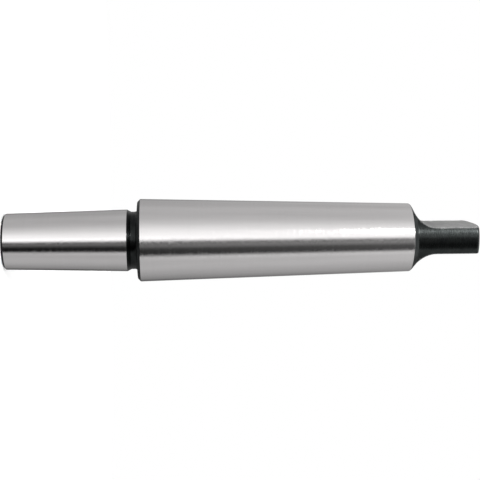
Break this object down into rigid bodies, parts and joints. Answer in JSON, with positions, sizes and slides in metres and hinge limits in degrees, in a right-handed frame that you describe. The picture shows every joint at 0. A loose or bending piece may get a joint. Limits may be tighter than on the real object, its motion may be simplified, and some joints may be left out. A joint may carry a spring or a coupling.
{
  "type": "drill chuck arbor",
  "caption": "One-piece steel arbor: a short chuck taper, an undercut, a long Morse spindle taper, and a flat milled tang at the far end.",
  "frame": {"origin": "middle of the chuck end face, at the bottom of the part as it stands", "axes": "+Z along the arbor's axis from the chuck end to the tang, +X out of one tang flat"},
  "size_m": [0.024, 0.024, 0.1383],
  "materials": {
    "steel": "ground bright on both tapers, black oxide on the undercut, the neck and the tang"
  },
  "bodies": {
    "root": {"arbor": "steel"}
  },
  "joints": []
}
